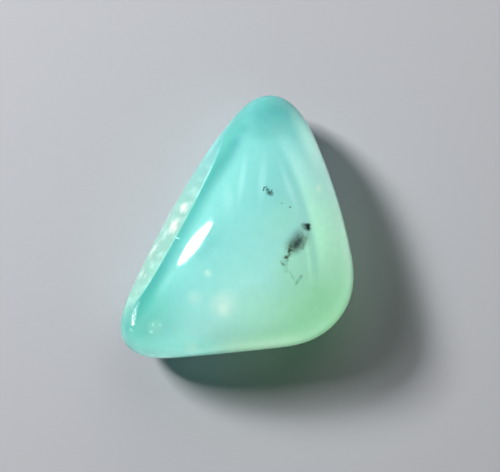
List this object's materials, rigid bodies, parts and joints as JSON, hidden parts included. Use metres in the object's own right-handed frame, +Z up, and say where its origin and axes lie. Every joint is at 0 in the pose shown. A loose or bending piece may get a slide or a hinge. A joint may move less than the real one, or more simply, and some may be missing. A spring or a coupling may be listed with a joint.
{
  "type": "polished chrysoprase stone",
  "caption": "Translucent blue-green chrysoprase, polished to a rounded triangular freeform with a long bevel on its left edge and a flat base to lie on.",
  "frame": {"origin": "middle of the box in plan, on the surface that the stone rests on", "axes": "+Z up from the flat base; +Y towards the narrow tip; +X towards the long right side"},
  "size_m": [0.0236, 0.027, 0.0098],
  "materials": {
    "chrysoprase": "polished, milky translucent, aqua fading to yellow-green, with fine black dendritic specks"
  },
  "bodies": {
    "root": {"chrysoprase_stone": "chrysoprase"}
  },
  "joints": []
}
